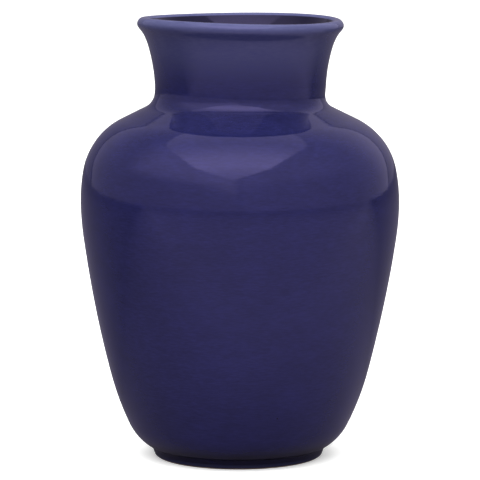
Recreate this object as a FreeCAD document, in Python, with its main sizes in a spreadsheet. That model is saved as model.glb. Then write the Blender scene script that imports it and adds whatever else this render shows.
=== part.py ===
import FreeCAD, Part
import math
import os
import Sketcher

# Flower vase in glazed stoneware: a fired clay body on a short foot ring, a blue glaze
# outside, a liner glaze inside and a patch of glaze in the recess under the floor.
# Millimetres, +Z up, the origin at the bottom centre of the foot ring.
#
# Each half section is a chain of tangent arcs that starts at the widest point of the
# belly, where the wall is upright. An arc has a radius on the outside of the bare clay
# and a turn in degrees. The inside of the wall and the faces of the glaze are the same
# chain at another distance from the clay, so every layer keeps its thickness.

SIZES = {
    "overall_height": 280.0,  # table to the top of the glazed lip
    "belly_radius": 100.7,  # widest radius of the bare clay
    "wall": 6.0,  # clay wall, the same from lip to heel
    "glaze": 0.6,  # fired glaze on every covered face
    "upper_belly_radius": 105.7,
    "upper_belly_turn": 10.9,
    "shoulder_radius": 43.9,
    "shoulder_turn": 52.7,
    "slope_length": 17.7,  # straight run from the shoulder up to the collar
    "collar_radius": 10.6,
    "neck_radius": 107.3,
    "neck_turn": 16.1,
    "flare_radius": 39.2,
    "flare_turn": 20.5,
    "lower_belly_radius": 160.4,
    "lower_belly_turn": 7.9,
    "flank_radius": 763.0,
    "flank_turn": 6.7,
    "haunch_radius": 179.4,
    "haunch_turn": 11.3,
    "heel_radius": 33.3,
    "crevice_radius": 1.0,  # hollow corner between the heel and the foot ring
    "foot_taper": 20.0,  # lean of the foot ring's two side walls
    "foot_outer": 52.0,  # outer edge of the flat that stands on the table
    "foot_inner": 45.4,  # inner edge of that flat
    "foot_round": 0.9,  # rounding on both sides of the flat
    "recess_depth": 3.4,  # table to the clay above the recess
    "recess_corner": 1.0,  # hollow corner of the recess
    "glaze_line": 0.8,  # height above the table where the glaze stops
}

AXIS_OF_VASE = -2
START = 1
END = 2
CENTRE = 3
UP = 90.0
DOWN = -90.0
OUTWARD = 0.0
INWARD = 180.0
LEFT = 1
RIGHT = -1
NEAR = 1e-4


class Size:
    """A length or a turn: its number, and the expression that ties it to the sheet."""

    def __init__(self, value, text):
        self.value = value
        self.text = text

    def __add__(self, other):
        return Size(self.value + other.value, f"({self.text} + {other.text})")

    def __sub__(self, other):
        return Size(self.value - other.value, f"({self.text} - {other.text})")

    def __neg__(self):
        return Size(-self.value, f"(-{self.text})")


def sized(alias):
    """The driving size with this name in the sheet."""
    return Size(SIZES[alias], f"Sizes.{alias}")


def fixed(value):
    """A number that stays the same whatever the sheet says."""
    return Size(value, str(value))


# How far each face lies outside the bare clay.
CLAY_OUTSIDE = fixed(0.0)
GLAZE_OUTSIDE = sized("glaze")
CLAY_INSIDE = -sized("wall")
GLAZE_INSIDE = -sized("wall") - sized("glaze")

HALF_WALL = Size(SIZES["wall"] / 2, "Sizes.wall / 2")
LIP_HEIGHT = sized("overall_height") - sized("glaze") - HALF_WALL
SHOULDER_TO_COLLAR = sized("upper_belly_turn") + sized("shoulder_turn")
BELLY_TO_HEEL = sized("lower_belly_turn") + sized("flank_turn") + sized("haunch_turn")

# Above and below the belly, going away from it: name, bulge (1) or hollow (-1), turn.
ABOVE = (
    ("upper_belly", 1, sized("upper_belly_turn")),
    ("shoulder", 1, sized("shoulder_turn")),
    ("slope", 0, fixed(0.0)),
    ("collar", -1, SHOULDER_TO_COLLAR),
    ("neck", -1, sized("neck_turn")),
    ("flare", -1, sized("flare_turn")),
)
BELOW = (
    ("lower_belly", 1, sized("lower_belly_turn")),
    ("flank", 1, sized("flank_turn")),
    ("haunch", 1, sized("haunch_turn")),
)

# Height at which a side wall of the foot ring turns into the rounding beside the flat.
WALL_END = SIZES["foot_round"] * (1 - math.sin(math.radians(SIZES["foot_taper"])))


class Chain:
    """A run of lines and arcs in a sketch, each one tangent to the one before."""

    def __init__(self, sketch, name, radius, height, heading):
        self.sketch = sketch
        self.name = name
        self.point = FreeCAD.Vector(radius, height, 0)
        self.heading = heading
        self.first = None
        self.last = None

    def bind(self, constraint, label, size):
        """Add a constraint and tie its value to the sheet."""
        index = self.sketch.addConstraint(constraint)
        self.sketch.renameConstraint(index, f"{self.name}_{label}")
        self.sketch.setExpression(f"Constraints.{self.name}_{label}", size.text)

    def join(self, piece, start, end):
        """Hook a new piece on to the end of the chain."""
        if self.last is None:
            self.first = (piece, start)
        else:
            self.sketch.addConstraint(Sketcher.Constraint("Tangent", *self.last, piece, start))
        self.last = (piece, end)
        self.sketch.solve()
        return piece

    def line(self, length):
        """Draw straight on for a length that other constraints may change."""
        ahead = math.radians(self.heading)
        step = FreeCAD.Vector(math.cos(ahead), math.sin(ahead), 0) * length
        piece = self.sketch.addGeometry(Part.LineSegment(self.point, self.point + step))
        self.point = self.point + step
        return self.join(piece, START, END)

    def arc(self, label, radius, turn, side):
        """Draw an arc of a set radius that bends left or right by a turn to be decided."""
        to_centre = math.radians(self.heading + 90 * side)
        spoke = FreeCAD.Vector(math.cos(to_centre), math.sin(to_centre), 0) * radius.value
        centre = self.point + spoke
        circle = Part.Circle(centre, FreeCAD.Vector(0, 0, 1), radius.value)
        here = self.heading - 90 * side
        there = here + turn * side
        low, high = sorted((math.radians(here), math.radians(there)))
        piece = self.sketch.addGeometry(Part.ArcOfCircle(circle, low, high))
        far = math.radians(there)
        self.point = centre + FreeCAD.Vector(math.cos(far), math.sin(far), 0) * radius.value
        self.heading += turn * side
        self.bind(Sketcher.Constraint("Radius", piece, radius.value), f"{label}_radius", radius)
        return self.join(piece, *((START, END) if side == LEFT else (END, START)))

    def turned_arc(self, label, radius, turn, side):
        """Draw an arc of a set radius and a set turn."""
        piece = self.arc(label, radius, turn.value, side)
        angle = math.radians(turn.value)
        self.bind(Sketcher.Constraint("Angle", piece, angle), f"{label}_turn", turn)
        return piece

    def rows(self, rows, offset, side):
        """Draw rows of the outline on the face that lies at this distance from the clay."""
        for label, bulge, turn in rows:
            if bulge == 0:
                length = sized(f"{label}_length")
                piece = self.line(length.value)
                self.bind(Sketcher.Constraint("Distance", piece, length.value), label, length)
            else:
                radius = sized(f"{label}_radius")
                radius = radius + offset if bulge == 1 else radius - offset
                self.turned_arc(label, radius, turn, side * bulge)

    def hold(self, label, size, axis, point=None):
        """Set the distance of a point, the end of the chain by default, from an axis."""
        piece, end = point or self.last
        kind = "DistanceX" if axis == "X" else "DistanceY"
        self.bind(Sketcher.Constraint(kind, -1, START, piece, end, size.value), label, size)


def belly_height():
    """Height of the widest point, from the height of the lip and the rows above it."""
    point = FreeCAD.Vector(0, 0, 0)
    lean = 0.0
    for label, bulge, turn in ABOVE:
        if bulge == 0:
            point.y += SIZES[f"{label}_length"] * math.cos(math.radians(lean))
            continue
        radius = SIZES[f"{label}_radius"]
        rise = math.sin(math.radians(lean + bulge * turn.value)) - math.sin(math.radians(lean))
        point.y += radius * bulge * rise
        lean += bulge * turn.value
    to_lip_centre = SIZES["wall"] / 2 * math.sin(math.radians(lean))
    return LIP_HEIGHT.value - point.y + to_lip_centre


def from_belly(sketch, name, offset, heading):
    """Start a chain at the widest point of the face at this distance from the clay."""
    radius = sized("belly_radius") + offset
    chain = Chain(sketch, name, radius.value, belly_height(), heading)
    return chain, radius


def level_start(chain, radius):
    """Fix the radius at the belly and make the wall upright there."""
    piece, start = chain.first
    chain.hold("belly", radius, "X", chain.first)
    chain.sketch.addConstraint(Sketcher.Constraint("Horizontal", piece, start, piece, CENTRE))


def rise(sketch, name, offset):
    """Draw a face from the belly up to the lip."""
    chain, radius = from_belly(sketch, name, offset, UP)
    chain.rows(ABOVE, offset, LEFT)
    level_start(chain, radius)
    return chain


def fall(sketch, name, offset, above):
    """Draw a face from the belly down to the heel, joined to the face above it."""
    chain, _ = from_belly(sketch, name, offset, DOWN)
    chain.rows(BELOW, offset, RIGHT)
    sketch.addConstraint(Sketcher.Constraint("Tangent", *above.first, *chain.first))
    return chain


def lip(chain, offset, side=LEFT):
    """Round the chain over the lip, whose centre is in the middle of the wall."""
    return chain.turned_arc("lip", HALF_WALL + offset, fixed(180.0), side)


def hold_lip(chain, piece):
    """Set the height of the whole section by the centre of its lip."""
    chain.hold("lip_height", LIP_HEIGHT, "Y", (piece, CENTRE))


def keep_level(first, second):
    """Put the widest points of two faces at one height."""
    level = Sketcher.Constraint("Horizontal", *first.first, *second.first)
    first.sketch.addConstraint(level)


def inside_floor(chain, offset):
    """Round the inside heel on to the flat floor and run to the axis of the vase."""
    turn = fixed(90.0) - BELLY_TO_HEEL
    chain.turned_arc("heel", sized("heel_radius") + offset, turn, RIGHT)
    chain.line(chain.point.x)
    to_axis = Sketcher.Constraint("PointOnObject", *chain.last, AXIS_OF_VASE)
    chain.sketch.addConstraint(to_axis)


def foot_wall(chain, offset, flat_edge, lean, end_height):
    """Draw a side wall of the foot ring, set by the rounding beside the flat."""
    drop = chain.point.y - end_height
    piece = chain.line(drop / math.cos(math.radians(SIZES["foot_taper"])))
    round_centre = FreeCAD.Vector(SIZES[flat_edge], SIZES["foot_round"], 0)
    dot = chain.sketch.addGeometry(Part.Point(round_centre), True)
    chain.hold(f"{flat_edge}_across", sized(flat_edge), "X", (dot, START))
    chain.hold(f"{flat_edge}_up", sized("foot_round"), "Y", (dot, START))
    reach = sized("foot_round") + offset
    gap = Sketcher.Constraint("Distance", dot, START, piece, reach.value)
    chain.bind(gap, f"{flat_edge}_wall", reach)
    angle = Sketcher.Constraint("Angle", piece, math.radians(lean.value))
    chain.bind(angle, f"{flat_edge}_lean", lean)


def heel_turn(chain, heel):
    """Turn of the heel at which the crevice arc runs out along the foot ring's wall."""
    inward = math.radians(chain.heading - 90)
    centre = chain.point + FreeCAD.Vector(math.cos(inward), math.sin(inward), 0) * heel.value
    across = math.radians(-SIZES["foot_taper"])
    outward = FreeCAD.Vector(math.cos(across), math.sin(across), 0)
    round_centre = FreeCAD.Vector(SIZES["foot_outer"], SIZES["foot_round"], 0)
    reach = SIZES["foot_round"] + SIZES["crevice_radius"]
    swing = (reach - (centre - round_centre).dot(outward)) / (
        SIZES["heel_radius"] + SIZES["crevice_radius"]
    )
    end_heading = -SIZES["foot_taper"] - math.degrees(math.acos(swing)) - 90
    return chain.heading - end_heading


def outside_foot(chain, offset, end_height):
    """Draw the heel, the crevice under it and the outer wall of the foot ring."""
    heel = sized("heel_radius") + offset
    chain.arc("heel", heel, heel_turn(chain, heel), RIGHT)
    lean = fixed(DOWN) - sized("foot_taper")
    back = lean.value - chain.heading
    chain.arc("crevice", sized("crevice_radius") - offset, back, LEFT)
    foot_wall(chain, offset, "foot_outer", lean, end_height)


def flat_over_recess(offset, ceiling):
    """Length of the flat over the recess, from the axis to its hollow corner."""
    corner_height = ceiling.value - (SIZES["recess_corner"] - offset.value)
    across = math.radians(180 + SIZES["foot_taper"])
    reach = SIZES["foot_round"] + SIZES["recess_corner"]
    drop = corner_height - SIZES["foot_round"]
    return SIZES["foot_inner"] + (reach - math.sin(across) * drop) / math.cos(across)


def recess(chain, offset, ceiling, end_height):
    """Draw the flat over the recess and the inner wall of the foot ring."""
    flat = chain.line(flat_over_recess(offset, ceiling))
    chain.sketch.addConstraint(Sketcher.Constraint("Horizontal", flat))
    chain.hold("ceiling", ceiling, "Y", chain.last)
    turn = 90.0 - SIZES["foot_taper"]
    chain.arc("recess_corner", sized("recess_corner") - offset, turn, RIGHT)
    lean = fixed(DOWN) + sized("foot_taper")
    foot_wall(chain, offset, "foot_inner", lean, end_height)


def edge_height():
    """Height on the face of the glaze at which the round of its edge begins."""
    lean = math.radians(SIZES["foot_taper"])
    return SIZES["glaze_line"] + SIZES["glaze"] * (math.cos(lean) - math.sin(lean))


def rolled_edge(clay, glaze, side):
    """Close the edge of a glaze layer with a round that ends on the clay."""
    glaze.arc("edge", sized("glaze"), 90.0, side)
    clay.sketch.addConstraint(Sketcher.Constraint("Coincident", *clay.last, *glaze.last))
    clay.hold("glaze_line", sized("glaze_line"), "Y")


def close(sketch, first, second):
    """Close two ends of the section with a straight line."""
    ends = [sketch.getPoint(*first), sketch.getPoint(*second)]
    piece = sketch.addGeometry(Part.LineSegment(*ends))
    sketch.addConstraint(Sketcher.Constraint("Coincident", *first, piece, START))
    sketch.addConstraint(Sketcher.Constraint("Coincident", *second, piece, END))
    return piece


def section_body(doc, name):
    """Make a body with an empty half section on its upright plane."""
    body = doc.addObject("PartDesign::Body", name)
    body.Label = name
    plane = [f for f in body.Origin.OriginFeatures if f.Role == "XZ_Plane"][0]
    sketch = body.newObject("Sketcher::SketchObject", f"{name}_section")
    sketch.AttachmentSupport = (plane, "")
    sketch.MapMode = "FlatFace"
    doc.recompute()
    return body, sketch


def spin(doc, body, sketch):
    """Turn the half section into the full round of the vase."""
    turned = body.newObject("PartDesign::Revolution", f"{body.Name}_turned")
    turned.Profile = sketch
    turned.ReferenceAxis = (sketch, ["V_Axis"])
    turned.Angle = 360.0
    body.Tip = turned
    body.Placement = FreeCAD.Placement()
    doc.recompute()
    return body


def clay_body(doc):
    """The fired clay: wall, floor and foot ring in one piece."""
    body, sketch = section_body(doc, "clay_body")
    wall = rise(sketch, "outside", CLAY_OUTSIDE)
    hold_lip(wall, lip(wall, CLAY_OUTSIDE))
    low = fall(sketch, "below", CLAY_OUTSIDE, wall)
    outside_foot(low, CLAY_OUTSIDE, WALL_END)
    low.arc("outer_round", sized("foot_round"), 90.0 - SIZES["foot_taper"], RIGHT)
    wall.name = "inside"
    wall.rows(tuple(reversed(ABOVE)), CLAY_INSIDE, RIGHT)
    wall.name = "inside_below"
    wall.rows(BELOW, CLAY_INSIDE, RIGHT)
    inside_floor(wall, CLAY_INSIDE)
    under = Chain(sketch, "under", 0.0, SIZES["recess_depth"], OUTWARD)
    recess(under, CLAY_OUTSIDE, sized("recess_depth"), WALL_END)
    sketch.addConstraint(Sketcher.Constraint("PointOnObject", *under.first, AXIS_OF_VASE))
    under.arc("inner_round", sized("foot_round"), 90.0 - SIZES["foot_taper"], LEFT)
    close(sketch, wall.last, under.first)
    flat = under.line(SIZES["foot_outer"] - SIZES["foot_inner"])
    sketch.addConstraint(Sketcher.Constraint("Horizontal", flat))
    sketch.addConstraint(Sketcher.Constraint("PointOnObject", flat, START, -1))
    sketch.addConstraint(Sketcher.Constraint("Tangent", *under.last, *low.last))
    return spin(doc, body, sketch)


def outer_glaze(doc):
    """The blue glaze from the foot ring up the outside and over the lip."""
    body, sketch = section_body(doc, "outer_glaze")
    clay = rise(sketch, "clay", CLAY_OUTSIDE)
    hold_lip(clay, lip(clay, CLAY_OUTSIDE))
    face = rise(sketch, "face", GLAZE_OUTSIDE)
    lip(face, GLAZE_OUTSIDE)
    keep_level(clay, face)
    close(sketch, clay.last, face.last)
    clay_low = fall(sketch, "clay_below", CLAY_OUTSIDE, clay)
    outside_foot(clay_low, CLAY_OUTSIDE, SIZES["glaze_line"])
    face_low = fall(sketch, "face_below", GLAZE_OUTSIDE, face)
    outside_foot(face_low, GLAZE_OUTSIDE, edge_height())
    rolled_edge(clay_low, face_low, RIGHT)
    return spin(doc, body, sketch)


def liner_glaze(doc):
    """The glaze inside: from the inner edge of the lip down the wall and over the floor."""
    body, sketch = section_body(doc, "liner_glaze")
    clay = rise(sketch, "clay", CLAY_INSIDE)
    face = rise(sketch, "face", GLAZE_INSIDE)
    keep_level(clay, face)
    close(sketch, clay.last, face.last)
    lip_guide = lip(clay, CLAY_OUTSIDE, RIGHT)
    sketch.toggleConstruction(lip_guide)
    hold_lip(clay, lip_guide)
    clay_low = fall(sketch, "clay_below", CLAY_INSIDE, clay)
    inside_floor(clay_low, CLAY_INSIDE)
    face_low = fall(sketch, "face_below", GLAZE_INSIDE, face)
    inside_floor(face_low, GLAZE_INSIDE)
    close(sketch, clay_low.last, face_low.last)
    return spin(doc, body, sketch)


def underside_glaze(doc):
    """The patch of glaze in the recess, inside the bare flat of the foot ring."""
    body, sketch = section_body(doc, "underside_glaze")
    clay = Chain(sketch, "clay", 0.0, SIZES["recess_depth"], OUTWARD)
    recess(clay, CLAY_OUTSIDE, sized("recess_depth"), SIZES["glaze_line"])
    face_height = sized("recess_depth") - sized("glaze")
    face = Chain(sketch, "face", 0.0, face_height.value, OUTWARD)
    recess(face, GLAZE_OUTSIDE, face_height, edge_height())
    for chain in (clay, face):
        on_axis = Sketcher.Constraint("PointOnObject", *chain.first, AXIS_OF_VASE)
        sketch.addConstraint(on_axis)
    close(sketch, clay.first, face.first)
    rolled_edge(clay, face, LEFT)
    return spin(doc, body, sketch)


def driving_sheet(doc):
    """Write every driving size into the sheet, one row each."""
    sheet = doc.addObject("Spreadsheet::Sheet", "Sizes")
    for row, (alias, value) in enumerate(SIZES.items(), start=1):
        sheet.set(f"A{row}", alias)
        sheet.set(f"B{row}", str(value))
        sheet.setAlias(f"B{row}", alias)
    doc.recompute()


def check(doc, bodies):
    """Stop if a sketch is loose, a feature failed or a body is no good solid."""
    for item in doc.Objects:
        bad = [state for state in item.State if state in ("Invalid", "Error")]
        if bad:
            raise RuntimeError(f"{item.Label}: {bad}")
        if item.isDerivedFrom("Sketcher::SketchObject") and not item.FullyConstrained:
            raise RuntimeError(f"{item.Label} is not fully constrained")
    for body in bodies:
        shape = body.Shape
        if shape.isNull() or not shape.isValid() or len(shape.Solids) != 1:
            raise RuntimeError(f"{body.Label} is not one valid solid")


def export(bodies):
    """Write each piece to its own STEP file."""
    os.makedirs("parts", exist_ok=True)
    for body in bodies:
        body.Shape.exportStep(f"parts/{body.Label}.step")


def main():
    doc = FreeCAD.newDocument("flower_vase")
    driving_sheet(doc)
    makers = (clay_body, outer_glaze, liner_glaze, underside_glaze)
    bodies = [make(doc) for make in makers]
    doc.recompute()
    check(doc, bodies)
    export(bodies)


main()
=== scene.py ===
"""Blue glazed flower vase: thrown stoneware with a full belly, waisted neck and flared lip."""

import logging  # noqa: E402
import math  # noqa: E402
from dataclasses import dataclass, field  # noqa: E402
from enum import Enum  # noqa: E402

import bpy  # noqa: E402
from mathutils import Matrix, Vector  # noqa: E402

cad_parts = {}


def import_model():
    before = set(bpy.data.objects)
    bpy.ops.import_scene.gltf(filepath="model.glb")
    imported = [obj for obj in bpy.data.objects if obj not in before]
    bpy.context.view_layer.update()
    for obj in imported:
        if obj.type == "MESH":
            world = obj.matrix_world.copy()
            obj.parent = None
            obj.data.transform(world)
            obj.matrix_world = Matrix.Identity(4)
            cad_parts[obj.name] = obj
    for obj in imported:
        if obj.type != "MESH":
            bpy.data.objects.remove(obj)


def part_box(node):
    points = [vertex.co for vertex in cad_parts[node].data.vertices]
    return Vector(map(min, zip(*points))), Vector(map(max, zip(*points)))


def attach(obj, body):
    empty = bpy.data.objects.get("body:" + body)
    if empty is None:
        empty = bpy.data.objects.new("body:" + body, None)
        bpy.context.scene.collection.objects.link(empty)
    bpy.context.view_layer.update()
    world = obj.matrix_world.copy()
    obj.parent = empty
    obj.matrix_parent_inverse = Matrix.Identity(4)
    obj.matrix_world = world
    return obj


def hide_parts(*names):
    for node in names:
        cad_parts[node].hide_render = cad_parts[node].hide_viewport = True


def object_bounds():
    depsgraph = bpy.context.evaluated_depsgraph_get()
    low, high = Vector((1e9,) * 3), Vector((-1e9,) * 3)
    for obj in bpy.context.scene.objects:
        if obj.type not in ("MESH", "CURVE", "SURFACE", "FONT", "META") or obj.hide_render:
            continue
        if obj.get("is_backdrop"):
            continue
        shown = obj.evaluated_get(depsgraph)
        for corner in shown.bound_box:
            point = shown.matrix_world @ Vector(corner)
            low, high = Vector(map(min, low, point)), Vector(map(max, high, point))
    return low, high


LOG = logging.getLogger("flower_vase")
MM = 0.001
Socket = bpy.types.NodeSocket
Tree = bpy.types.NodeTree


# ---- small helpers


def linear(hex_colour: str) -> tuple[float, float, float, float]:
    """Turn an sRGB hex colour into Blender's linear colour.

    Args:
        hex_colour: Six hex digits after a hash sign.

    Returns:
        Linear red, green, blue and an alpha of one.
    """
    channels = [int(hex_colour[i : i + 2], 16) / 255 for i in (1, 3, 5)]
    bent = [c / 12.92 if c <= 0.04045 else ((c + 0.055) / 1.055) ** 2.4 for c in channels]
    return (bent[0], bent[1], bent[2], 1.0)


def add_node(
    tree: Tree, kind: str, links: dict, stops: tuple = (), **settings: object
) -> bpy.types.Node:
    """Add a shader node, set it up and link its inputs.

    Args:
        tree: The node tree that takes the node.
        kind: Blender's identifier of the node type.
        links: Input name or number mapped to an output socket, or to a plain value.
        stops: For a colour ramp, pairs of position and linear colour in rising order.
        settings: Attributes of the node itself.

    Returns:
        The new node.
    """
    node = tree.nodes.new(kind)
    for name, value in settings.items():
        setattr(node, name, value)
    if stops:
        elements = node.color_ramp.elements
        elements[0].position, elements[0].color = stops[0]
        elements[1].position, elements[1].color = stops[-1]
        for position, colour in stops[1:-1]:
            elements.new(position).color = colour
    for name, value in links.items():
        if isinstance(value, Socket):
            tree.links.new(value, node.inputs[name])
        else:
            node.inputs[name].default_value = value
    return node


def grey(level: float) -> tuple[float, float, float, float]:
    """A neutral linear colour of this level."""
    return (level, level, level, 1.0)


def start_material(name: str) -> tuple[bpy.types.Material, Tree]:
    """Make a material with an empty node tree.

    Args:
        name: Name of the real material.

    Returns:
        The material and its node tree.
    """
    material = bpy.data.materials.new(name)
    material.use_nodes = True
    material.node_tree.nodes.clear()
    return material, material.node_tree


def finish_material(tree: Tree, shader: bpy.types.Node) -> None:
    """Send a shader to the surface output of its tree."""
    add_node(tree, "ShaderNodeOutputMaterial", {"Surface": shader.outputs[0]})


# ---- finishes


@dataclass(frozen=True)
class CobaltGlaze:
    """Glossy cobalt glaze, brushed on round the wheel and fired: deep blue with a wet shine.

    The glaze is thick and dark on the walls. It runs thin on the lip, where the paler clay
    shows through. The crevice above the foot is painted near black, partly as glaze gathered
    there and partly as painted shade. The neck under the lip is painted paler as painted light,
    and the foot's edge paler, partly as thin glaze and partly as painted light.
    """

    name: str
    deep: str = "#17183b"
    body: str = "#1b1c43"
    pale: str = "#1f204c"
    # paler tone: thin glaze, also used as painted light under the lip and on the foot's edge
    thin: str = "#4a4d70"
    # near black: glaze gathered in the crevice with painted shade there, and the pinholes
    pooled_and_shaded: str = "#0d0c1c"
    tint: str = "#d4d0ff"  # the shine takes a little of the blue
    ior: float = 1.52
    roughness: float = 0.06
    brush_line: float = 0.9 * MM  # spacing of the brush lines round the wall
    brush_reach: float = 4.5 * MM  # how far a brush line runs before it fades
    cloud: float = 34 * MM  # size of the slow changes in thickness
    orange_peel: float = 3.2 * MM  # size of the slight waviness of the fired surface
    pinhole_gap: float = 28 * MM  # typical distance between two pinholes through the coat
    pinhole: float = 0.5 * MM
    bump: float = 0.02 * MM

    def make(self, glaze_and_light_fades: tuple["Fade", ...]) -> bpy.types.Material:
        """Build the material.

        Args:
            glaze_and_light_fades: Bands where the coat turns paler or near black, and how much;
            they stand for thin and gathered glaze, and some for painted light and shade.

        Returns:
            The finished material.
        """
        material, tree = start_material(self.name)
        place = add_node(tree, "ShaderNodeTexCoord", {}).outputs["Object"]
        lines = self.marks(tree, place, self.brush_reach, self.brush_line, 3.0)
        broad = self.marks(tree, place, self.brush_reach * 3, self.brush_line * 5, 2.0)
        cloud = self.marks(tree, place, self.cloud, self.cloud, 2.0)
        thickness = add_node(
            tree, "ShaderNodeMath", {0: broad, 1: 0.25, 2: 0.0}, operation="MULTIPLY_ADD"
        ).outputs[0]
        for layer, share in ((lines, 0.5), (cloud, 0.25)):
            thickness = add_node(
                tree, "ShaderNodeMath", {0: layer, 1: share, 2: thickness},
                operation="MULTIPLY_ADD",
            ).outputs[0]
        colour = add_node(
            tree,
            "ShaderNodeValToRGB",
            {"Fac": thickness},
            stops=(
                (0.36, linear(self.pale)), (0.5, linear(self.body)), (0.64, linear(self.deep)),
            ),
        ).outputs["Color"]
        height = add_node(tree, "ShaderNodeSeparateXYZ", {0: place}).outputs["Z"]
        for fade in glaze_and_light_fades:
            colour = self.fade(tree, colour, height, thickness, fade)
        seeds = add_node(
            tree, "ShaderNodeTexVoronoi", {"Vector": place, "Scale": 1 / self.pinhole_gap}
        ).outputs["Distance"]
        hole = self.pinhole / self.pinhole_gap
        holes = add_node(
            tree, "ShaderNodeMapRange",
            {"Value": seeds, "From Min": hole * 1.3, "From Max": hole * 0.8, "To Min": 0.0,
             "To Max": 1.0},
        ).outputs["Result"]
        colour = add_node(
            tree, "ShaderNodeMix", {"Factor": holes, 6: colour, 7: linear(self.pooled_and_shaded)},
            data_type="RGBA",
        ).outputs[2]
        roughness = add_node(
            tree,
            "ShaderNodeMapRange",
            {"Value": cloud, "From Min": 0.3, "From Max": 0.7,
             "To Min": self.roughness * 0.8, "To Max": self.roughness * 1.25},
        ).outputs["Result"]
        peel = self.marks(tree, place, self.orange_peel, self.orange_peel, 1.0)
        relief = add_node(
            tree, "ShaderNodeMath", {0: peel, 1: 0.6, 2: lines}, operation="MULTIPLY_ADD"
        ).outputs[0]
        bump = add_node(
            tree, "ShaderNodeBump", {"Strength": 1.0, "Distance": self.bump, "Height": relief}
        ).outputs["Normal"]
        shader = add_node(
            tree,
            "ShaderNodeBsdfPrincipled",
            {"Base Color": colour, "Roughness": roughness, "IOR": self.ior, "Normal": bump,
             "Specular Tint": linear(self.tint)},
        )
        finish_material(tree, shader)
        return material

    def marks(
        self, tree: Tree, place: Socket, around: float, upward: float, detail: float
    ) -> Socket:
        """Marks that are longer round the vase than they are high.

        Args:
            tree: The node tree.
            place: Object coordinates.
            around: Size of a mark along the wall, in metres.
            upward: Size of a mark up the wall, in metres.
            detail: Octaves of finer marks.

        Returns:
            The strength of the marks, about a half.
        """
        scaled = add_node(
            tree,
            "ShaderNodeMapping",
            {"Vector": place, "Scale": (1 / around, 1 / around, 1 / upward)},
        ).outputs["Vector"]
        return add_node(
            tree,
            "ShaderNodeTexNoise",
            {"Vector": scaled, "Scale": 1.0, "Detail": detail, "Roughness": 0.55},
        ).outputs["Fac"]

    def fade(
        self, tree: Tree, colour: Socket, height: Socket, thickness: Socket, fade: "Fade"
    ) -> Socket:
        """Shift the colour over a band: thin or gathered glaze, and painted light and shade.

        Args:
            tree: The node tree.
            colour: The colour so far.
            height: Height up the vase.
            thickness: Unevenness of the coat.
            fade: Where it happens, and how much.

        Returns:
            The changed colour.
        """
        share = add_node(
            tree,
            "ShaderNodeMapRange",
            {"Value": height, "From Min": fade.start, "From Max": fade.end, "To Min": 0.0,
             "To Max": fade.share * 2},
            interpolation_type="SMOOTHSTEP",
        ).outputs["Result"]
        uneven = add_node(
            tree, "ShaderNodeMath", {0: share, 1: thickness}, operation="MULTIPLY",
            use_clamp=True,
        ).outputs[0]
        # near black for gathered glaze and painted shade, else the paler tone for thin glaze and
        # painted light
        goal = self.pooled_and_shaded if fade.pools_and_shades else self.thin
        return add_node(
            tree, "ShaderNodeMix", {"Factor": uneven, 6: colour, 7: linear(goal)},
            data_type="RGBA",
        ).outputs[2]


@dataclass(frozen=True)
class Fade:
    """A stretch of height over which the coat changes, from its start to its end."""

    start: float
    end: float
    share: float
    pools_and_shades: bool = False


@dataclass(frozen=True)
class FiredClay:
    """Bare stoneware, fired buff and wiped with a sponge: matt, dry and gritty to the eye."""

    name: str = "fired stoneware"
    light: str = "#b39b82"
    dark: str = "#7d6650"
    speck: str = "#3c2f26"
    grit: float = 1.1 * MM
    wipe_reach: float = 18 * MM
    roughness: float = 0.78
    bump: float = 0.06 * MM

    def make(self) -> bpy.types.Material:
        """Build the material.

        Returns:
            The finished material.
        """
        material, tree = start_material(self.name)
        place = add_node(tree, "ShaderNodeTexCoord", {}).outputs["Object"]
        cloud = add_node(
            tree, "ShaderNodeTexNoise", {"Vector": place, "Scale": 1 / self.wipe_reach,
                                         "Detail": 5.0, "Roughness": 0.65}
        ).outputs["Fac"]
        grain = add_node(
            tree, "ShaderNodeTexNoise", {"Vector": place, "Scale": 1 / self.grit, "Detail": 2.0}
        ).outputs["Fac"]
        colour = add_node(
            tree,
            "ShaderNodeValToRGB",
            {"Fac": cloud},
            stops=((0.3, linear(self.dark)), (0.7, linear(self.light))),
        ).outputs["Color"]
        spot = add_node(
            tree, "ShaderNodeTexVoronoi", {"Vector": place, "Scale": 1 / (self.grit * 3)}
        ).outputs["Distance"]
        near = add_node(
            tree, "ShaderNodeValToRGB", {"Fac": spot},
            stops=((0.05, grey(1.0)), (0.13, grey(0.0))),
        ).outputs["Color"]
        colour = add_node(
            tree, "ShaderNodeMix", {"Factor": near, 6: colour, 7: linear(self.speck)},
            data_type="RGBA",
        ).outputs[2]
        bump = add_node(
            tree, "ShaderNodeBump", {"Strength": 1.0, "Distance": self.bump, "Height": grain}
        ).outputs["Normal"]
        shader = add_node(
            tree,
            "ShaderNodeBsdfPrincipled",
            {"Base Color": colour, "Roughness": self.roughness, "IOR": 1.45, "Normal": bump},
        )
        finish_material(tree, shader)
        return material


@dataclass(frozen=True)
class PaperSweep:
    """Seamless white paper: matt and even, bright enough to lose its own edge."""

    name: str = "white sweep paper"
    tone: str = "#fbfbfa"
    fibre: float = 2.0 * MM
    glow: float = 0.33

    def make(self) -> bpy.types.Material:
        """Build the material.

        Returns:
            The finished material.
        """
        material, tree = start_material(self.name)
        place = add_node(tree, "ShaderNodeTexCoord", {}).outputs["Object"]
        fibre = add_node(
            tree, "ShaderNodeTexNoise", {"Vector": place, "Scale": 1 / self.fibre}
        ).outputs["Fac"]
        bump = add_node(
            tree, "ShaderNodeBump", {"Strength": 0.05, "Distance": 0.1 * MM, "Height": fibre}
        ).outputs["Normal"]
        shader = add_node(
            tree,
            "ShaderNodeBsdfPrincipled",
            {"Base Color": linear(self.tone), "Roughness": 0.9, "Specular IOR Level": 0.0,
             "Emission Color": linear(self.tone), "Emission Strength": self.glow,
             "Normal": bump},
        )
        finish_material(tree, shader)
        return material


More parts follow.
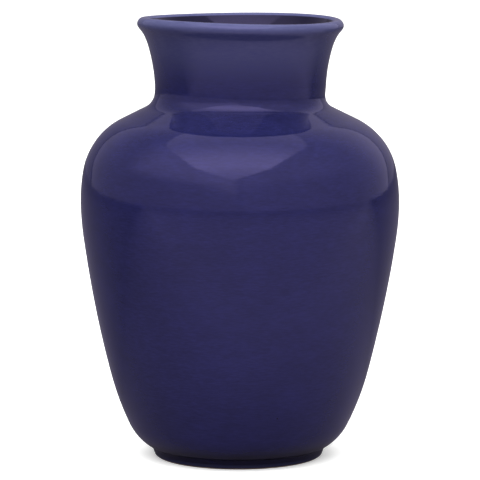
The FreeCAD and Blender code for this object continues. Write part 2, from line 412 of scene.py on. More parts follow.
@dataclass(frozen=True)
class GreyCardWithPaintedLight:
    """Grey card on the table, met only in the shine, with painted light: its albedo is paler
    towards the camera and darker to the back, standing in for light that falls off there.
    """

    name: str = "grey table card"
    # painted light: the card takes the violet of the tent's light
    tint: str = "#ede2ff"
    # painted light: albedo at the front edge and at the back edge
    front: float = 0.4
    back: float = 0.12
    skew: float = -0.3  # painted light: the pale part lies further back on the right
    front_edge: float = -250 * MM
    back_edge: float = 120 * MM

    def make(self) -> bpy.types.Material:
        """Build the material.

        Returns:
            The finished material.
        """
        material, tree = start_material(self.name)
        place = add_node(tree, "ShaderNodeTexCoord", {}).outputs["Object"]
        split = add_node(tree, "ShaderNodeSeparateXYZ", {0: place})
        along = add_node(
            tree, "ShaderNodeMath",
            {0: split.outputs["X"], 1: self.skew, 2: split.outputs["Y"]},
            operation="MULTIPLY_ADD",
        ).outputs[0]
        # painted light: albedo brighter towards the camera, darker to the back
        level = add_node(
            tree,
            "ShaderNodeMapRange",
            {"Value": along, "From Min": self.front_edge, "From Max": self.back_edge,
             "To Min": self.front, "To Max": self.back},
        ).outputs["Result"]
        colour = add_node(
            tree, "ShaderNodeVectorMath", {0: linear(self.tint)[:3], "Scale": level},
            operation="SCALE",
        ).outputs["Vector"]
        shader = add_node(
            tree, "ShaderNodeBsdfPrincipled",
            {"Base Color": colour, "Roughness": 1.0, "Specular IOR Level": 0.0},
        )
        finish_material(tree, shader)
        return material


# ---- the lathe


class Way(Enum):
    """Headings in the half section, in degrees from the outward direction."""

    OUTWARD = 0.0
    UP = 90.0
    DOWN = -90.0


class Lathe:
    """Draws a half section in edit mode and turns it round the upright axis."""

    def __init__(self, name: str) -> None:
        """Open an empty mesh for the section.

        Args:
            name: Name of the piece.
        """
        bpy.ops.object.select_all(action="DESELECT")
        bpy.ops.mesh.primitive_plane_add(size=MM, location=(0, 0, 0))
        self.piece = bpy.context.object
        self.piece.name = name
        self.piece.data.name = name
        bpy.ops.object.mode_set(mode="EDIT")
        bpy.ops.mesh.select_all(action="SELECT")
        bpy.ops.mesh.delete(type="VERT")
        self.r = 0.0
        self.z = 0.0
        self.heading = 0.0

    def start(self, r: float, z: float, way: Way) -> None:
        """Put down a first point.

        Args:
            r: Distance from the axis.
            z: Height.
            way: Direction in which the outline leaves the point.
        """
        bpy.ops.mesh.select_all(action="DESELECT")
        bpy.ops.mesh.primitive_plane_add(size=MM, location=(r, 0, z))
        bpy.ops.mesh.merge(type="CENTER")
        self.r, self.z, self.heading = r, z, way.value

    def straight(self, length: float, spacing: float) -> None:
        """Draw straight on.

        Args:
            length: How far.
            spacing: Greatest distance between two points.
        """
        count = max(1, math.ceil(length / spacing))
        ahead = math.radians(self.heading)
        step = Vector((math.cos(ahead), 0, math.sin(ahead))) * (length / count)
        for _ in range(count):
            bpy.ops.mesh.extrude_region_move(TRANSFORM_OT_translate={"value": step})
        self.r += step.x * count
        self.z += step.z * count

    def arc(self, radius: float, turn: float, spacing: float) -> None:
        """Draw an arc; a positive turn bends to the left.

        Args:
            radius: Radius of the arc.
            turn: Change of heading in degrees.
            spacing: Greatest distance between two points along the arc.
        """
        side = math.copysign(1.0, turn)
        spoke = math.radians(self.heading + 90 * side)
        centre_r = self.r + radius * math.cos(spoke)
        centre_z = self.z + radius * math.sin(spoke)
        count = max(2, math.ceil(radius * abs(math.radians(turn)) / spacing))
        bpy.ops.mesh.spin(
            steps=count,
            angle=math.radians(turn),
            center=(centre_r, 0, centre_z),
            axis=(0, 1, 0),
        )
        self.corner(turn)
        out = math.radians(self.heading - 90 * side)
        self.r = centre_r + radius * math.cos(out)
        self.z = centre_z + radius * math.sin(out)

    def corner(self, turn: float) -> None:
        """Change heading on the spot, and keep it between -180 and 180 degrees."""
        self.heading = (self.heading + turn + 180.0) % 360.0 - 180.0

    def to_axis(self, spacing: float) -> None:
        """Run straight in to the axis."""
        self.straight(abs(self.r), spacing)

    def turn_round(self, segments: int) -> bpy.types.Object:
        """Turn the section into a closed round, with its faces pointing outwards.

        Args:
            segments: Number of steps round the vase.

        Returns:
            The finished object.
        """
        bpy.ops.mesh.select_all(action="SELECT")
        bpy.ops.mesh.remove_doubles(threshold=0.004 * MM)
        bpy.ops.mesh.spin(steps=segments, angle=math.tau, center=(0, 0, 0), axis=(0, 0, 1))
        bpy.ops.mesh.select_all(action="SELECT")
        bpy.ops.mesh.remove_doubles(threshold=0.004 * MM)
        bpy.ops.mesh.normals_make_consistent(inside=False)
        bpy.ops.object.mode_set(mode="OBJECT")
        bpy.ops.object.shade_smooth_by_angle(angle=math.radians(40))
        return self.piece


@dataclass(frozen=True)
class Bend:
    """A stretch of the wall's outline, measured on the outside of the bare clay.

    A bulge has bulge 1, a hollow has bulge -1, and a straight stretch has bulge 0 and
    its length as size.
    """

    bulge: int
    size: float
    turn: float = 0.0


@dataclass
class WallSection:
    """The half section that every layer of the vase follows at its own distance."""

    belly_radius: float
    lip_top: float
    wall: float = 6.0 * MM
    glaze: float = 0.6 * MM
    above: tuple[Bend, ...] = (
        Bend(1, 105.7 * MM, 10.9),
        Bend(1, 43.9 * MM, 52.7),
        Bend(0, 17.7 * MM),
        Bend(-1, 10.6 * MM, 63.6),
        Bend(-1, 107.3 * MM, 16.1),
        Bend(-1, 39.2 * MM, 20.5),
    )
    below: tuple[Bend, ...] = (
        Bend(1, 160.4 * MM, 7.9),
        Bend(1, 763.0 * MM, 6.7),
        Bend(1, 179.4 * MM, 11.3),
    )
    heel: float = 33.3 * MM
    crevice: float = 1.0 * MM
    foot_taper: float = 20.0
    foot_outer: float = 52.0 * MM
    foot_inner: float = 45.4 * MM
    foot_round: float = 0.9 * MM
    recess_depth: float = 3.4 * MM
    recess_corner: float = 1.0 * MM
    glaze_line: float = 0.8 * MM

    def run_to_lip(self) -> tuple[float, float, float]:
        """Follow the outside of the clay from the widest point to the lip.

        Returns:
            How far the run reaches outwards, how far it climbs, and its lean to the axis
            at the end, in degrees.
        """
        reach = climb = lean = 0.0
        for bend in self.above:
            before = math.radians(lean)
            if bend.bulge == 0:
                reach -= bend.size * math.sin(before)
                climb += bend.size * math.cos(before)
                continue
            lean += bend.bulge * bend.turn
            after = math.radians(lean)
            reach += bend.bulge * bend.size * (math.cos(after) - math.cos(before))
            climb += bend.bulge * bend.size * (math.sin(after) - math.sin(before))
        return reach, climb, lean

    def belly_height(self) -> float:
        """Height of the widest point, found from the height of the lip.

        Returns:
            The height in metres.
        """
        _, climb, lean = self.run_to_lip()
        centre = self.lip_top - self.glaze - self.wall / 2
        return centre - climb + self.wall / 2 * math.sin(math.radians(lean))

    def lip_ring(self) -> tuple[float, float]:
        """Radius and height of the ring in the middle of the lip's roll.

        Returns:
            Radius and height in metres.
        """
        reach, _, lean = self.run_to_lip()
        radius = self.belly_radius + reach - self.wall / 2 * math.cos(math.radians(lean))
        return radius, self.lip_top - self.glaze - self.wall / 2

    def start_at_belly(self, lathe: Lathe, offset: float, way: Way) -> None:
        """Put the lathe at the widest point of one face.

        Args:
            lathe: The lathe that draws.
            offset: Distance of the face outside the bare clay.
            way: Up or down.
        """
        lathe.start(self.belly_radius + offset, self.belly_height(), way)

    def bends(
        self, lathe: Lathe, bends: tuple[Bend, ...], offset: float, side: int, spacing: float
    ) -> None:
        """Draw a row of bends on one face.

        Args:
            lathe: The lathe that draws.
            bends: The row, in the order in which it is met.
            offset: Distance of the face outside the bare clay.
            side: 1 when the wall's outside is on the right of the heading, else -1.
            spacing: Greatest distance between two points.
        """
        for bend in bends:
            if bend.bulge == 0:
                lathe.straight(bend.size, spacing)
            else:
                radius = bend.size + bend.bulge * offset
                lathe.arc(radius, side * bend.bulge * bend.turn, spacing)

    def heel_turn(self, lathe: Lathe, radius: float) -> float:
        """Turn of the heel at which the crevice runs out along the foot ring.

        Args:
            lathe: The lathe, at the start of the heel.
            radius: Radius of the heel on this face.

        Returns:
            The turn in degrees.
        """
        spoke = math.radians(lathe.heading - 90)
        centre = Vector((lathe.r + radius * math.cos(spoke), lathe.z + radius * math.sin(spoke)))
        across = math.radians(-self.foot_taper)
        outward = Vector((math.cos(across), math.sin(across)))
        gap = self.foot_round + self.crevice
        gap -= (centre - Vector((self.foot_outer, self.foot_round))).dot(outward)
        swing = math.degrees(math.acos(gap / (self.heel + self.crevice)))
        return lathe.heading + 90 + self.foot_taper + swing

    def down_to_foot(self, lathe: Lathe, offset: float, end: float, spacing: float) -> None:
        """Draw the heel, the crevice and the foot ring's outer wall.

        Args:
            lathe: The lathe, at the start of the heel and heading down.
            offset: Distance of the face outside the bare clay.
            end: Height at which the wall stops.
            spacing: Greatest distance between two points.
        """
        radius = self.heel + offset
        lathe.arc(radius, -self.heel_turn(lathe, radius), spacing)
        back = Way.DOWN.value - self.foot_taper - lathe.heading
        lathe.arc(self.crevice - offset, back, spacing / 3)
        self.foot_wall(lathe, end, spacing)

    def foot_wall(self, lathe: Lathe, end: float, spacing: float) -> None:
        """Draw a side wall of the foot ring down to a height."""
        drop = lathe.z - end
        lathe.straight(drop / math.cos(math.radians(self.foot_taper)), spacing / 2)

    def wall_end(self) -> float:
        """Height where the foot ring's side walls turn into their rounding."""
        return self.foot_round * (1 - math.sin(math.radians(self.foot_taper)))

    def roll_start(self) -> float:
        """Height on the glaze where the round of its edge begins."""
        lean = math.radians(self.foot_taper)
        return self.glaze_line + self.glaze * (math.cos(lean) - math.sin(lean))

    def inside_to_axis(self, lathe: Lathe, offset: float, spacing: float) -> None:
        """Draw the inside heel and the floor, heading down and in to the axis.

        Args:
            lathe: The lathe, at the start of the heel and heading down.
            offset: Distance of the face outside the bare clay, so less than nought.
            spacing: Greatest distance between two points.
        """
        turn = lathe.heading - (Way.DOWN.value - 90)
        lathe.arc(self.heel + offset, -turn, spacing)
        lathe.to_axis(spacing * 2)

    def ceiling_length(self) -> float:
        """Length of the flat over the recess, from the axis to its hollow corner.

        Returns:
            The length in metres.
        """
        corner_height = self.recess_depth - self.recess_corner
        across = math.radians(180 + self.foot_taper)
        reach = self.foot_round + self.recess_corner
        drop = corner_height - self.foot_round
        return self.foot_inner + (reach - math.sin(across) * drop) / math.cos(across)


class HandWork:
    """The small unevenness that hands and the kiln leave in the finished form."""

    def __init__(self, section: WallSection) -> None:
        """Take the heights that the unevenness hangs on.

        Args:
            section: The wall's section.
        """
        self.top = section.lip_top
        self.ring = section.lip_ring()
        self.lean = (
            (0.0, -1.0 * MM),
            (60 * MM, -0.5 * MM),
            (150 * MM, 0.0),
            (195 * MM, -0.2 * MM),
            (222 * MM, -0.8 * MM),
            (238 * MM, 0.3 * MM),
            (280 * MM, 0.3 * MM),
        )
        self.rim_from = 248 * MM
        self.rim_tilt = 0.65 * MM
        self.rim_twist = 0.6 * MM
        self.oval = 0.12 * MM
        self.roll = 0.75 * MM
        self.roll_reach = 9 * MM
        self.roll_way = (0.5, -0.87)  # outwards and down

    @staticmethod
    def smooth(share: float) -> float:
        """Ease a share between nought and one."""
        share = min(1.0, max(0.0, share))
        return share * share * (3 - 2 * share)

    def sideways(self, z: float) -> float:
        """Sideways shift of the axis at a height.

        Args:
            z: The height.

        Returns:
            The shift along X.
        """
        for (low, a), (high, b) in zip(self.lean, self.lean[1:]):
            if z <= high:
                return a + (b - a) * self.smooth((z - low) / (high - low))
        return self.lean[-1][1]

    def rolled(self, r: float, z: float) -> tuple[float, float]:
        """Fill out the underside of the lip's roll, where the thumb pressed it over.

        Args:
            r: Distance from the axis.
            z: Height.

        Returns:
            The changed distance and height.
        """
        out, up = r - self.ring[0], z - self.ring[1]
        away = math.hypot(out, up)
        if away >= self.roll_reach or away < 0.1 * MM:
            return r, z
        outwards, upwards = self.roll_way
        underneath = max(0.0, (outwards * out + upwards * up) / away)
        push = self.roll * underneath * (1 - self.smooth(away / self.roll_reach))
        return r + push * out / away, z + push * up / away

    def apply(self, piece: bpy.types.Object) -> None:
        """Move each point of a piece by the unevenness at its place.

        Args:
            piece: A piece in its final place.
        """
        for vertex in piece.data.vertices:
            x, y, z = vertex.co
            around = math.atan2(y, x)
            radius = math.hypot(x, y)
            fuller, z = self.rolled(radius, z)
            rim = self.smooth((z - self.rim_from) / (self.top - self.rim_from))
            tilt = -self.rim_tilt * math.cos(around) + self.rim_twist * math.sin(2 * around)
            wide = self.smooth(z / (40 * MM)) * self.oval * math.cos(2 * around + 0.7)
            swell = (fuller + wide) / radius if radius > 20 * MM else 1.0
            vertex.co = (x * swell + self.sideways(z), y * swell, z + rim * tilt)
        piece.data.update()


# ---- the pieces


@dataclass
class ClayBody:
    """The fired clay: wall, floor and foot ring, turned in one."""

    section: WallSection
    segments: int = 240
    spacing: float = 3.0 * MM

    def build(self) -> bpy.types.Object:
        """Turn the clay.

        Returns:
            The clay body.
        """
        s = self.section
        lathe = Lathe("clay_body_turned")
        s.start_at_belly(lathe, 0.0, Way.UP)
        s.bends(lathe, s.above, 0.0, 1, self.spacing)
        lathe.arc(s.wall / 2, 180.0, self.spacing / 4)
        s.bends(lathe, tuple(reversed(s.above)), -s.wall, -1, self.spacing)
        s.bends(lathe, s.below, -s.wall, -1, self.spacing)
        s.inside_to_axis(lathe, -s.wall, self.spacing)
        s.start_at_belly(lathe, 0.0, Way.DOWN)
        s.bends(lathe, s.below, 0.0, -1, self.spacing)
        s.down_to_foot(lathe, 0.0, s.wall_end(), self.spacing)
        around_edge = 90.0 - s.foot_taper
        lathe.arc(s.foot_round, -around_edge, self.spacing / 8)
        lathe.straight(s.foot_outer - s.foot_inner, self.spacing / 4)
        lathe.arc(s.foot_round, -around_edge, self.spacing / 8)
        rise = s.recess_depth - s.recess_corner * (1 - math.sin(math.radians(s.foot_taper)))
        lathe.straight((rise - lathe.z) / math.cos(math.radians(s.foot_taper)), self.spacing)
        lathe.arc(s.recess_corner, around_edge, self.spacing / 8)
        lathe.to_axis(self.spacing * 2)
        return lathe.turn_round(self.segments)


@dataclass
class OuterGlaze:
    """The coat of glaze from the foot ring up the outside and over the lip."""

    section: WallSection
    segments: int = 256
    spacing: float = 1.4 * MM
    hidden_spacing: float = 5.0 * MM

    def build(self) -> bpy.types.Object:
        """Turn the coat.

        Returns:
            The outer coat.
        """
        s = self.section
        lathe = Lathe("outer_glaze_coat")
        s.start_at_belly(lathe, s.glaze, Way.UP)
        s.bends(lathe, s.above, s.glaze, 1, self.spacing)
        lathe.arc(s.wall / 2 + s.glaze, 180.0, self.spacing / 3)
        lathe.corner(90.0)
        lathe.straight(s.glaze, s.glaze)
        lathe.corner(90.0)
        lathe.arc(s.wall / 2, -180.0, self.hidden_spacing / 5)
        s.bends(lathe, tuple(reversed(s.above)), 0.0, -1, self.hidden_spacing)
        s.bends(lathe, s.below, 0.0, -1, self.hidden_spacing)
        s.down_to_foot(lathe, 0.0, s.glaze_line, self.hidden_spacing / 2)
        s.start_at_belly(lathe, s.glaze, Way.DOWN)
        s.bends(lathe, s.below, s.glaze, -1, self.spacing)
        s.down_to_foot(lathe, s.glaze, s.roll_start(), self.spacing)
        lathe.arc(s.glaze, -90.0, s.glaze / 4)
        return lathe.turn_round(self.segments)


@dataclass
class LinerGlaze:
    """The coat of glaze poured round the inside, from the lip to the floor."""

    section: WallSection
    segments: int = 192
    spacing: float = 2.4 * MM
    hidden_spacing: float = 6.0 * MM

    def build(self) -> bpy.types.Object:
        """Turn the coat.

        Returns:
            The liner coat.
        """
        s = self.section
        face = -s.wall - s.glaze
        lathe = Lathe("liner_glaze_coat")
        s.start_at_belly(lathe, face, Way.UP)
        s.bends(lathe, s.above, face, 1, self.spacing)
        lathe.corner(-90.0)
        lathe.straight(s.glaze, s.glaze)
        lathe.corner(-90.0)
        s.bends(lathe, tuple(reversed(s.above)), -s.wall, -1, self.hidden_spacing)
        s.bends(lathe, s.below, -s.wall, -1, self.hidden_spacing)
        s.inside_to_axis(lathe, -s.wall, self.hidden_spacing)
        s.start_at_belly(lathe, face, Way.DOWN)
        s.bends(lathe, s.below, face, -1, self.spacing)
        s.inside_to_axis(lathe, face, self.spacing)
        return lathe.turn_round(self.segments)


@dataclass
class UndersideGlaze:
    """The patch of glaze in the recess under the floor."""

    section: WallSection
    segments: int = 192
    spacing: float = 2.0 * MM

    def build(self) -> bpy.types.Object:
        """Turn the patch.

        Returns:
            The underside patch.
        """
        s = self.section
        lathe = Lathe("underside_glaze_patch")
        around_corner = 90.0 - s.foot_taper
        lathe.start(0.0, s.recess_depth, Way.OUTWARD)
        lathe.straight(s.ceiling_length(), self.spacing)
        lathe.arc(s.recess_corner, -around_corner, self.spacing / 8)
        s.foot_wall(lathe, s.glaze_line, self.spacing / 4)
        lathe.start(0.0, s.recess_depth - s.glaze, Way.OUTWARD)
        lathe.straight(s.ceiling_length(), self.spacing)
        lathe.arc(s.recess_corner - s.glaze, -around_corner, self.spacing / 8)
        s.foot_wall(lathe, s.roll_start(), self.spacing / 4)
        lathe.arc(s.glaze, 90.0, s.glaze / 4)
        return lathe.turn_round(self.segments)


@dataclass
class Vase:
    """The whole vase: four turned layers, dressed and tied to the frame."""

    section: WallSection
    pieces: list[bpy.types.Object] = field(default_factory=list)

    def build(self) -> None:
        """Build, dress and tie each layer."""
        hands = HandWork(self.section)
        top = self.section.lip_top
        lip = Fade(top - 8 * MM, top, 0.85)
        # painted light: the neck under the lip is made paler to brighten its shade
        under_lip_painted_light = Fade(top - 42 * MM, top - 10 * MM, 0.5)
        # glaze gathered in the crevice, and painted shade there: near black from 17 mm down to
        # the foot
        crevice = Fade(17 * MM, 7 * MM, 1.0, pools_and_shades=True)
        # partly thin glaze at the foot's edge, partly painted light from the floor
        foot_edge_thin_and_lit = Fade(4 * MM, 1.5 * MM, 0.3)
        brim = Fade(top - 2 * MM, top, 0.4)
        outside = CobaltGlaze("cobalt glaze").make((under_lip_painted_light, lip, crevice, foot_edge_thin_and_lit))
        # painted shade: the liner's colours are a much darker copy of the outer glaze, for the
        # dim inside of the neck
        liner = CobaltGlaze(
            "liner glaze", deep="#0e0d1c", body="#100f21", pale="#131226", ior=1.43
        ).make((brim,))
        clay = FiredClay().make()
        layers = (
            (ClayBody(self.section), clay, "clay_body", "bare_clay"),
            (OuterGlaze(self.section), outside, "outer_glaze", "blue_glaze"),
            (LinerGlaze(self.section), liner, "liner_glaze", "liner_glaze"),
            (UndersideGlaze(self.section), outside, "underside_glaze", "blue_glaze"),
        )
        for maker, material, node, slot in layers:
            piece = maker.build()
            hands.apply(piece)
            piece.data.materials.clear()
            piece.data.materials.append(material)
            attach(piece, "root")
            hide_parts(node)
            self.pieces.append(piece)
            LOG.info("%s: %d faces", piece.name, len(piece.data.polygons))


# ---- the studio


@dataclass(frozen=True)
class Outlook:
    """The direction that a ray looks in, split up in the tent's node tree.

    x is to the right, y to the back and z up; bearing and height are in radians.
    """

    tree: Tree
    direction: Socket
    x: Socket
    y: Socket
    z: Socket
    bearing: Socket
    height: Socket


@dataclass(frozen=True)
class LightTent:
    """A white cloth tent round the vase, as a surrounding light.

    Directions are given by their height over the horizon and by their bearing, in degrees:
    bearing 0 is towards the camera and 90 to the right of it.
    """

    walls: tuple = ((-30, 0.78), (0, 0.83), (25, 0.88), (60, 0.72), (90, 0.66))
    bearings: tuple = (
        (-180, 0.6), (-150, 0.5), (-128, 0.46), (-112, 0.5), (-92, 0.64), (-70, 0.76),
        (-45, 0.9), (0, 1.0), (55, 0.95), (80, 0.76), (95, 0.7), (118, 0.66), (135, 0.74),
        (160, 0.74), (180, 0.6),
    )
    roof: tuple = (
        (-2.3, 1.7), (-1.5, 2.3), (-0.85, 3.1), (-0.5, 2.75), (-0.25, 1.9), (0.0, 1.2),
        (0.5, 1.0),
    )
    roof_reach: tuple = (-2.3, 0.9)  # on a ceiling one unit over the vase, like the next ones
    roof_half_width: float = 0.64
    roof_taper: float = 0.49  # widening from the front point, for each unit back
    roof_narrowing: tuple = (0.78, 0.74)  # narrowing at the back, and half width over the vase
    roof_skew: tuple = (-0.06, 0.05)  # sideways drift for each unit back, and sideways shift
    roof_edge: float = 0.03
    glow: float = 0.75  # light that the roof panel spreads on the cloth round it
    glow_reach: float = 2.8
    glow_right: float = 0.35  # share of the glow on the right of the panel
    glow_back: float = 0.05  # share of the glow behind the panel
    seam: float = 138.0
    seam_lean: float = 0.7
    seam_width: float = 1.6
    seam_depth: float = 0.55
    behind: float = 0.5  # share of light behind the seams
    slit: float = 0.88  # share of light in the slit that the camera looks through
    seen: float = 1.4  # what the camera sees of the tent is plain white
    cloth: str = "#ede2ff"  # its shine on the glaze is a little violet
    far_corner: tuple = (0.337, 0.724, 0.602)  # direction of the bright cloth at the back right
    far_glow: float = 0.06

    def make(self) -> bpy.types.World:
        """Build the surrounding light.

        Returns:
            The world.
        """
        world = bpy.data.worlds.new("white cloth tent")
        world.use_nodes = True
        tree = world.node_tree
        tree.nodes.clear()
        direction = add_node(tree, "ShaderNodeTexCoord", {}).outputs["Generated"]
        split = add_node(tree, "ShaderNodeSeparateXYZ", {0: direction})
        x, y, z = (split.outputs[name] for name in "XYZ")
        away = add_node(tree, "ShaderNodeMath", {0: y, 1: -1.0}, operation="MULTIPLY").outputs[0]
        bearing = add_node(
            tree, "ShaderNodeMath", {0: x, 1: away}, operation="ARCTAN2"
        ).outputs[0]
        height = add_node(tree, "ShaderNodeMath", {0: z}, operation="ARCSINE").outputs[0]
        outlook = Outlook(tree, direction, x, y, z, bearing, height)
        level = self.wall_level(outlook)
        level = self.seams(outlook, level)
        level = self.roof_panel(outlook, level)
        level = self.corner_glow(outlook, level)
        rays = add_node(tree, "ShaderNodeLightPath", {})
        colour = add_node(
            tree, "ShaderNodeMix",
            {"Factor": rays.outputs["Is Glossy Ray"], 6: grey(1.0), 7: linear(self.cloth)},
            data_type="RGBA",
        ).outputs[2]
        room = add_node(tree, "ShaderNodeBackground", {"Color": colour, "Strength": level})
        seen = add_node(
            tree, "ShaderNodeBackground", {"Color": grey(1.0), "Strength": self.seen}
        )
        both = add_node(
            tree, "ShaderNodeMixShader",
            {0: rays.outputs["Is Camera Ray"], 1: room.outputs[0], 2: seen.outputs[0]},
        )
        add_node(tree, "ShaderNodeOutputWorld", {"Surface": both.outputs[0]})
        return world

    def wall_level(self, outlook: Outlook) -> Socket:
        """Brightness of the walls, falling off round the back and towards the ground.

        Args:
            outlook: The direction that is looked in.

        Returns:
            The brightness.
        """
        tree = outlook.tree
        upward = add_node(
            tree, "ShaderNodeMath", {0: outlook.z, 1: 0.5, 2: 0.5}, operation="MULTIPLY_ADD"
        ).outputs[0]
        by_height = add_node(
            tree,
            "ShaderNodeValToRGB",
            {"Fac": upward},
            stops=tuple(
                ((math.sin(math.radians(angle)) + 1) / 2, grey(level))
                for angle, level in self.walls
            ),
        ).outputs["Color"]
        turned = add_node(
            tree, "ShaderNodeMath", {0: outlook.bearing, 1: 1 / math.tau, 2: 0.5},
            operation="MULTIPLY_ADD",
        ).outputs[0]
        by_bearing = add_node(
            tree,
            "ShaderNodeValToRGB",
            {"Fac": turned},
            stops=tuple((angle / 360 + 0.5, grey(share)) for angle, share in self.bearings),
        ).outputs["Color"]
        return add_node(
            tree, "ShaderNodeMath", {0: by_height, 1: by_bearing}, operation="MULTIPLY"
        ).outputs[0]

    def corner_glow(self, outlook: Outlook, level: Socket) -> Socket:
        """Brighter cloth high up at the back right.

        Args:
            outlook: The direction that is looked in.
            level: Brightness so far.

        Returns:
            The changed brightness.
        """
        tree = outlook.tree
        towards = add_node(
            tree, "ShaderNodeVectorMath", {0: outlook.direction, 1: self.far_corner},
            operation="DOT_PRODUCT",
        ).outputs["Value"]
        glow = add_node(
            tree,
            "ShaderNodeMapRange",
            {"Value": towards, "From Min": 0.7, "From Max": 0.95, "To Min": 0.0,
             "To Max": self.far_glow},
            interpolation_type="SMOOTHSTEP",
        ).outputs["Result"]
        return add_node(tree, "ShaderNodeMath", {0: level, 1: glow}, operation="ADD").outputs[0]

    def seams(self, outlook: Outlook, level: Socket) -> Socket:
        """Dark seams at the back corners, darker cloth behind them, and the front slit.

        Args:
            outlook: The direction that is looked in.
            level: Brightness so far.

        Returns:
            The changed brightness.
        """
        tree = outlook.tree
        sideways = add_node(
            tree, "ShaderNodeMath", {0: outlook.bearing}, operation="ABSOLUTE"
        ).outputs[0]
        leaning = add_node(
            tree, "ShaderNodeMath", {0: outlook.height, 1: -self.seam_lean, 2: sideways},
            operation="MULTIPLY_ADD",
        ).outputs[0]
        corner = math.radians(self.seam)
        half = math.radians(self.seam_width) / 2
        behind = add_node(
            tree,
            "ShaderNodeMapRange",
            {"Value": leaning, "From Min": corner - half, "From Max": corner + half,
             "To Min": 1.0, "To Max": self.behind},
        ).outputs["Result"]
        on_seam = add_node(
            tree, "ShaderNodeMath", {0: leaning, 1: corner, 2: half}, operation="COMPARE"
        ).outputs[0]
        dark = add_node(
            tree, "ShaderNodeMath", {0: on_seam, 1: -self.seam_depth, 2: behind},
            operation="MULTIPLY_ADD",
        ).outputs[0]
        side = add_node(
            tree,
            "ShaderNodeMapRange",
            {"Value": sideways, "From Min": math.radians(50), "From Max": math.radians(85),
             "To Min": 0.0, "To Max": 1.0},
            interpolation_type="SMOOTHSTEP",
        ).outputs["Result"]
        at_side = add_node(
            tree, "ShaderNodeMix", {"Factor": side, 2: 1.0, 3: dark}, data_type="FLOAT"
        ).outputs[0]
        slit = add_node(
            tree,
            "ShaderNodeMapRange",
            {"Value": sideways, "From Min": math.radians(1.0), "From Max": math.radians(4.0),
             "To Min": self.slit, "To Max": 1.0},
            interpolation_type="SMOOTHSTEP",
        ).outputs["Result"]
        both = add_node(
            tree, "ShaderNodeMath", {0: at_side, 1: slit}, operation="MULTIPLY"
        ).outputs[0]
        return add_node(
            tree, "ShaderNodeMath", {0: level, 1: both}, operation="MULTIPLY"
        ).outputs[0]

    def roof_panel(self, outlook: Outlook, level: Socket) -> Socket:
        """The bright roof panel, which comes down to a point towards the camera.

        Args:
            outlook: The direction that is looked in.
            level: Brightness so far.

        Returns:
            The changed brightness.
        """
        tree = outlook.tree
        lift = add_node(
            tree, "ShaderNodeMath", {0: outlook.z, 1: 0.01}, operation="MAXIMUM"
        ).outputs[0]
        across, along = (
            add_node(tree, "ShaderNodeMath", {0: part, 1: lift}, operation="DIVIDE").outputs[0]
            for part in (outlook.x, outlook.y)
        )
        drift, shift = self.roof_skew
        skewed = add_node(
            tree, "ShaderNodeMath", {0: along, 1: drift, 2: across}, operation="MULTIPLY_ADD"
        ).outputs[0]
        middle = add_node(
            tree, "ShaderNodeMath", {0: skewed, 1: shift}, operation="ADD"
        ).outputs[0]
        out = add_node(tree, "ShaderNodeMath", {0: middle}, operation="ABSOLUTE").outputs[0]
        front, back = self.roof_reach
        taper = add_node(
            tree, "ShaderNodeMath",
            {0: along, 1: self.roof_taper, 2: -front * self.roof_taper},
            operation="MULTIPLY_ADD",
        ).outputs[0]
        width = add_node(
            tree, "ShaderNodeMath", {0: taper, 1: self.roof_half_width, 2: 0.08},
            operation="SMOOTH_MIN",
        ).outputs[0]
        narrowing, over_vase = self.roof_narrowing
        rear = add_node(
            tree, "ShaderNodeMath", {0: along, 1: -narrowing, 2: over_vase},
            operation="MULTIPLY_ADD",
        ).outputs[0]
        width = add_node(
            tree, "ShaderNodeMath", {0: width, 1: rear, 2: 0.12}, operation="SMOOTH_MIN"
        ).outputs[0]
        inset, end = (
            add_node(
                tree, "ShaderNodeMath", {0: limit, 1: spot}, operation="SUBTRACT"
            ).outputs[0]
            for limit, spot in ((width, out), (back, along))
        )
        inset = add_node(
            tree, "ShaderNodeMath", {0: inset, 1: end}, operation="MINIMUM"
        ).outputs[0]
        mask = add_node(
            tree,
            "ShaderNodeMapRange",
            {"Value": inset, "From Min": 0.0, "From Max": self.roof_edge, "To Min": 0.0,
             "To Max": 1.0},
        ).outputs["Result"]
        brightest = max(share for _, share in self.roof)
        place = add_node(
            tree,
            "ShaderNodeMapRange",
            {"Value": along, "From Min": front, "From Max": back, "To Min": 0.0, "To Max": 1.0},
        ).outputs["Result"]
        cloth = add_node(
            tree,
            "ShaderNodeValToRGB",
            {"Fac": place},
            stops=tuple(
                ((spot - front) / (back - front), grey(share / brightest))
                for spot, share in self.roof
            ),
        ).outputs["Color"]
        bright = add_node(
            tree, "ShaderNodeMath", {0: cloth, 1: brightest}, operation="MULTIPLY"
        ).outputs[0]
        glow = add_node(
            tree,
            "ShaderNodeMapRange",
            {"Value": inset, "From Min": -self.glow_reach, "From Max": 0.0, "To Min": 0.0,
             "To Max": self.glow},
            interpolation_type="SMOOTHSTEP",
        ).outputs["Result"]
        to_left = add_node(
            tree,
            "ShaderNodeMapRange",
            {"Value": middle, "From Min": 0.25, "From Max": -0.25,
             "To Min": self.glow_right, "To Max": 1.0},
        ).outputs["Result"]
        to_front = add_node(
            tree,
            "ShaderNodeMapRange",
            {"Value": along, "From Min": 0.5, "From Max": -0.4,
             "To Min": self.glow_back, "To Max": 1.0},
            interpolation_type="SMOOTHSTEP",
        ).outputs["Result"]
        glow = add_node(
            tree, "ShaderNodeMath", {0: glow, 1: to_front}, operation="MULTIPLY"
        ).outputs[0]
        around = add_node(
            tree, "ShaderNodeMath", {0: glow, 1: to_left, 2: level}, operation="MULTIPLY_ADD"
        ).outputs[0]
        return add_node(
            tree, "ShaderNodeMix", {"Factor": mask, 2: around, 3: bright}, data_type="FLOAT"
        ).outputs[0]


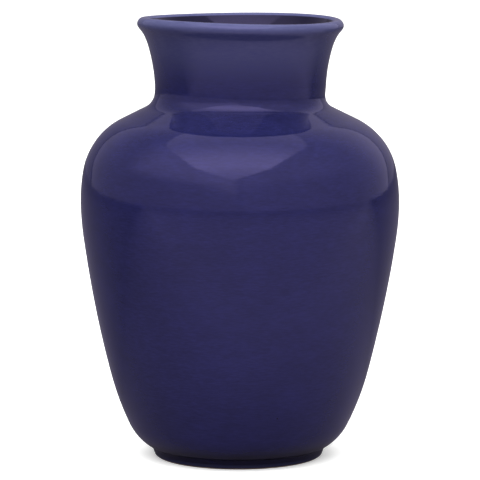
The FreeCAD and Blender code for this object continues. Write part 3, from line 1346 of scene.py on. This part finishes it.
@dataclass(frozen=True)
class OverheadFill:
    """A wide, weak light over the tent, too even to show in the shine."""

    height: float = 1.4
    size: float = 3.2
    power: float = 46.0

    def hang(self) -> None:
        """Add the light, pointing down."""
        data = bpy.data.lights.new("overhead fill", "AREA")
        data.shape = "SQUARE"
        data.size = self.size
        data.energy = self.power
        lamp = bpy.data.objects.new("overhead_fill", data)
        lamp.location = (0, 0, self.height)
        lamp.visible_glossy = False
        lamp.visible_camera = False
        bpy.context.scene.collection.objects.link(lamp)


@dataclass
class Studio:
    """White sweep, tent, fill light and the camera."""

    height: float
    distance: float = 7.3  # in heights of the vase, like the next two
    eye: float = 1.431
    aim: float = 0.4946
    lens: float = 242.3

    def build(self) -> None:
        """Set up the whole studio."""
        self.sweep()
        self.card()
        bpy.context.scene.world = LightTent().make()
        OverheadFill().hang()
        self.camera()
        bpy.context.scene.view_settings.view_transform = "Standard"

    def sweep(self) -> None:
        """Lay the floor of white paper."""
        bpy.ops.object.select_all(action="DESELECT")
        bpy.ops.mesh.primitive_plane_add(size=12.0, location=(0, 2.0, 0))
        floor = bpy.context.object
        floor.name = "sweep_floor"
        floor.data.materials.append(PaperSweep().make())
        bpy.ops.object.transform_apply(location=True, rotation=True, scale=True)
        floor.visible_glossy = False
        floor.visible_diffuse = False
        floor.visible_shadow = False
        floor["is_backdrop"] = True

    def card(self) -> None:
        """Lay the grey card just under the paper, for the vase's shine and shade only."""
        bpy.ops.object.select_all(action="DESELECT")
        bpy.ops.mesh.primitive_plane_add(size=12.0, location=(0, 0, -0.2 * MM))
        card = bpy.context.object
        card.name = "table_card"
        card.data.materials.append(GreyCardWithPaintedLight().make())
        bpy.ops.object.transform_apply(location=True, rotation=True, scale=True)
        card.visible_camera = False
        card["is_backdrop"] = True

    def camera(self) -> None:
        """Point the camera at the vase from the front and a little above."""
        data = bpy.data.cameras.new("camera")
        data.lens = self.lens
        data.sensor_width = 36.0
        data.clip_end = 100.0
        camera = bpy.data.objects.new("camera", data)
        place = Vector((0, -self.distance * self.height, self.eye * self.height))
        target = Vector((0, 0, self.aim * self.height))
        camera.location = place
        camera.rotation_euler = (target - place).to_track_quat("-Z", "Y").to_euler()
        bpy.context.scene.collection.objects.link(camera)
        bpy.context.scene.camera = camera


def plain(bounds: object) -> list:
    """Turn a box from the frame into plain lists of numbers."""
    return [[float(value) for value in corner] for corner in bounds]


def main() -> list:
    """Load the frame, build the vase and the studio.

    Returns:
        The box of the frame as it was loaded.
    """
    logging.basicConfig(level=logging.INFO, format="%(name)s %(message)s")
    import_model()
    cad_box = plain(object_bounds())
    low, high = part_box("outer_glaze")
    glaze = WallSection.glaze
    section = WallSection(belly_radius=(high[0] - low[0]) / 2 - glaze, lip_top=high[2])
    Vase(section).build()
    Studio(height=high[2]).build()
    return cad_box


if __name__ == "__main__":
    loaded_box = main()
